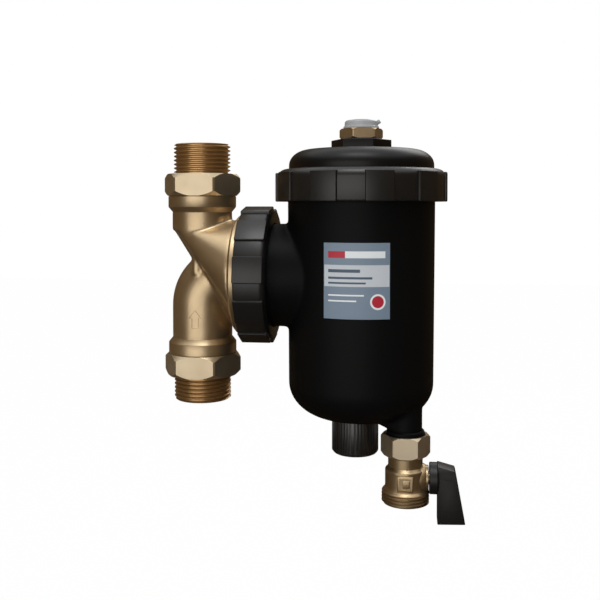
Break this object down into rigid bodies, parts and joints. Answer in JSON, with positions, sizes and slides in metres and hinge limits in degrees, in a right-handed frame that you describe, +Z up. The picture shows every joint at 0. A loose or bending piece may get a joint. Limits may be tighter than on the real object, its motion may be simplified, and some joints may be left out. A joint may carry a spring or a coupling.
{
  "type": "magnetic system filter",
  "caption": "Magnetic dirt separator for a heating circuit: S-shaped brass diverter with hexagon nipples, swivel union, black canister with locking lid ring, air vent, magnet and drain valve.",
  "frame": {"origin": "centre of the inlet thread's end face, on the pipe's axis", "axes": "+Z up the pipe from inlet to outlet, +X from the pipe to the filter housing, -Y to the front with the label"},
  "size_m": [0.1751, 0.0986, 0.2252],
  "materials": {
    "brass": "sand-cast and satin machined, champagne coloured",
    "brass_thread": "machined, a little darker in the threads",
    "black_nylon": "satin moulded glass-filled nylon",
    "ring_nylon": "satin moulded glass-filled nylon",
    "rubber": "smooth",
    "ptfe": "smooth",
    "steel": "drawn",
    "magnet": "nickel plated",
    "label_print": "printed film",
    "vent_plastic": "translucent grey moulding"
  },
  "bodies": {
    "diverter": {"diverter_body": "brass", "upper_nipple": "brass_thread", "lower_nipple": "brass_thread", "upper_nipple_washer": "rubber", "lower_nipple_washer": "rubber", "spout_o_ring": "rubber"},
    "filter_housing": {"housing": "black_nylon", "union_gasket": "rubber", "split_ring": "steel", "flow_insert": "black_nylon", "label": "label_print", "magnet_pocket": "brass", "pocket_o_ring": "rubber"},
    "union_nut": {"union_ring": "ring_nylon"},
    "lid_unit": {"lid": "black_nylon", "lid_o_ring": "rubber", "strainer_frame": "black_nylon", "strainer_mesh": "steel", "vent_body": "brass", "vent_seal": "rubber"},
    "lid_lock": {"lid_ring": "ring_nylon"},
    "vent_knob": {"vent_cap": "vent_plastic", "vent_needle": "brass"},
    "magnet_rod": {"magnet_core": "steel", "magnet_discs": "magnet", "pole_pieces": "steel"},
    "magnet_knob": {"magnet_cap": "black_nylon"},
    "drain_valve": {"drain_valve_body": "brass", "drain_gasket": "rubber", "valve_insert": "brass", "ball_seats": "ptfe", "stem_o_ring": "rubber"},
    "drain_union": {"drain_nut": "brass"},
    "drain_handle": {"drain_lever": "black_nylon", "lever_screw": "steel", "valve_stem": "brass", "drain_ball": "steel"}
  },
  "joints": [
    {"name": "filter_swivel", "type": "hinge", "parent": "diverter", "child": "filter_housing", "pos_m": [0.0346, 0, 0.0735], "axis": [1, 0, 0], "continuous": true},
    {"name": "union_ring_turn", "type": "hinge", "parent": "filter_housing", "child": "union_nut", "pos_m": [0.0346, 0, 0.0735], "axis": [1, 0, 0], "continuous": true},
    {"name": "lid_lift", "type": "slide", "parent": "filter_housing", "child": "lid_unit", "axis": [0, 0, 1], "range_m": [0, 0.12]},
    {"name": "lid_ring_turn", "type": "hinge", "parent": "lid_unit", "child": "lid_lock", "pos_m": [0.0937, 0, 0.125], "axis": [0, 0, 1], "continuous": true},
    {"name": "vent_cap_turn", "type": "hinge", "parent": "lid_unit", "child": "vent_knob", "pos_m": [0.0937, 0, 0.158], "axis": [0, 0, 1], "range_deg": [0, 360]},
    {"name": "magnet_pull", "type": "slide", "parent": "filter_housing", "child": "magnet_rod", "axis": [0, 0, -1], "range_m": [0, 0.13]},
    {"name": "magnet_cap_turn", "type": "hinge", "parent": "magnet_rod", "child": "magnet_knob", "pos_m": [0.0903, 0.0032, -0.02], "axis": [0, 0, 1], "range_deg": [0, 450]},
    {"name": "drain_valve_swivel", "type": "hinge", "parent": "filter_housing", "child": "drain_valve", "pos_m": [0.1196, -0.0156, -0.02], "axis": [0, 0, 1], "range_deg": [-60, 60]},
    {"name": "drain_nut_turn", "type": "hinge", "parent": "drain_valve", "child": "drain_union", "pos_m": [0.1196, -0.0156, -0.02], "axis": [0, 0, 1], "continuous": true},
    {"name": "drain_lever_turn", "type": "hinge", "parent": "drain_valve", "child": "drain_handle", "pos_m": [0.1326, -0.0156, -0.0376], "axis": [-1, 0, 0], "range_deg": [0, 90]}
  ]
}
